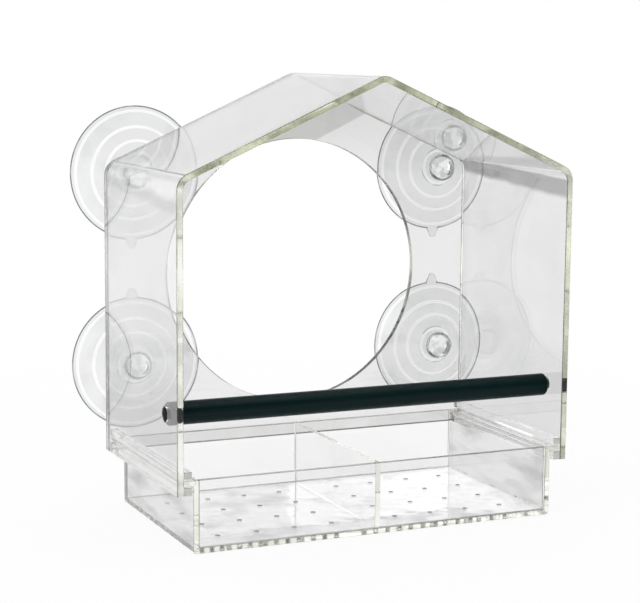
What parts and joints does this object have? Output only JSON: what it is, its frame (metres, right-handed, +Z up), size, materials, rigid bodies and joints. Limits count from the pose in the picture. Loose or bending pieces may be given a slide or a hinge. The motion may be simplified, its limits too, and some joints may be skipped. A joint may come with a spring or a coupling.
{
  "type": "window bird feeder",
  "caption": "Clear house-shaped bird feeder held on a window by suction cups, with a bent shell, a round back opening, a sliding divided seed tray and a black perch.",
  "frame": {"origin": "on the window glass, midway between the four suction cups", "axes": "+Z up, +Y through the glass into the room, +X to the right when facing the open front"},
  "size_m": [0.2247, 0.108, 0.2068],
  "materials": {
    "house_acrylic": "polished clear acrylic sheet with olive-tinted cut edges",
    "tray_acrylic": "polished clear acrylic sheet",
    "rod_black": "satin black",
    "sleeve_black": "smooth satin black with a faint green cast",
    "cup_vinyl": "glossy clear soft vinyl"
  },
  "bodies": {
    "house": {"house_shell": "house_acrylic", "back_panel": "house_acrylic", "rail_left_upper": "house_acrylic", "rail_left_lower": "house_acrylic", "rail_right_upper": "house_acrylic", "rail_right_lower": "house_acrylic"},
    "tray": {"tray_body": "tray_acrylic", "tray_front": "tray_acrylic", "tray_back": "tray_acrylic", "tray_divider": "tray_acrylic"},
    "perch": {"perch_rod": "rod_black", "perch_sleeve": "sleeve_black"},
    "upper_left_cup": {"cup_upper_left": "cup_vinyl"},
    "upper_right_cup": {"cup_upper_right": "cup_vinyl"},
    "lower_left_cup": {"cup_lower_left": "cup_vinyl"},
    "lower_right_cup": {"cup_lower_right": "cup_vinyl"}
  },
  "joints": [
    {"name": "tray_slide", "type": "slide", "parent": "house", "child": "tray", "axis": [0, -1, 0], "range_m": [0, 0.11]},
    {"name": "perch_turn", "type": "hinge", "parent": "house", "child": "perch", "pos_m": [0, -0.0915, -0.0531], "axis": [1, 0, 0], "continuous": true},
    {"name": "cup_upper_left_turn", "type": "hinge", "parent": "house", "child": "upper_left_cup", "pos_m": [-0.08035, 0, 0.04595], "axis": [0, 1, 0], "continuous": true},
    {"name": "cup_upper_right_turn", "type": "hinge", "parent": "house", "child": "upper_right_cup", "pos_m": [0.08035, 0, 0.04595], "axis": [0, 1, 0], "continuous": true},
    {"name": "cup_lower_left_turn", "type": "hinge", "parent": "house", "child": "lower_left_cup", "pos_m": [-0.08035, 0, -0.04595], "axis": [0, 1, 0], "continuous": true},
    {"name": "cup_lower_right_turn", "type": "hinge", "parent": "house", "child": "lower_right_cup", "pos_m": [0.08035, 0, -0.04595], "axis": [0, 1, 0], "continuous": true}
  ]
}
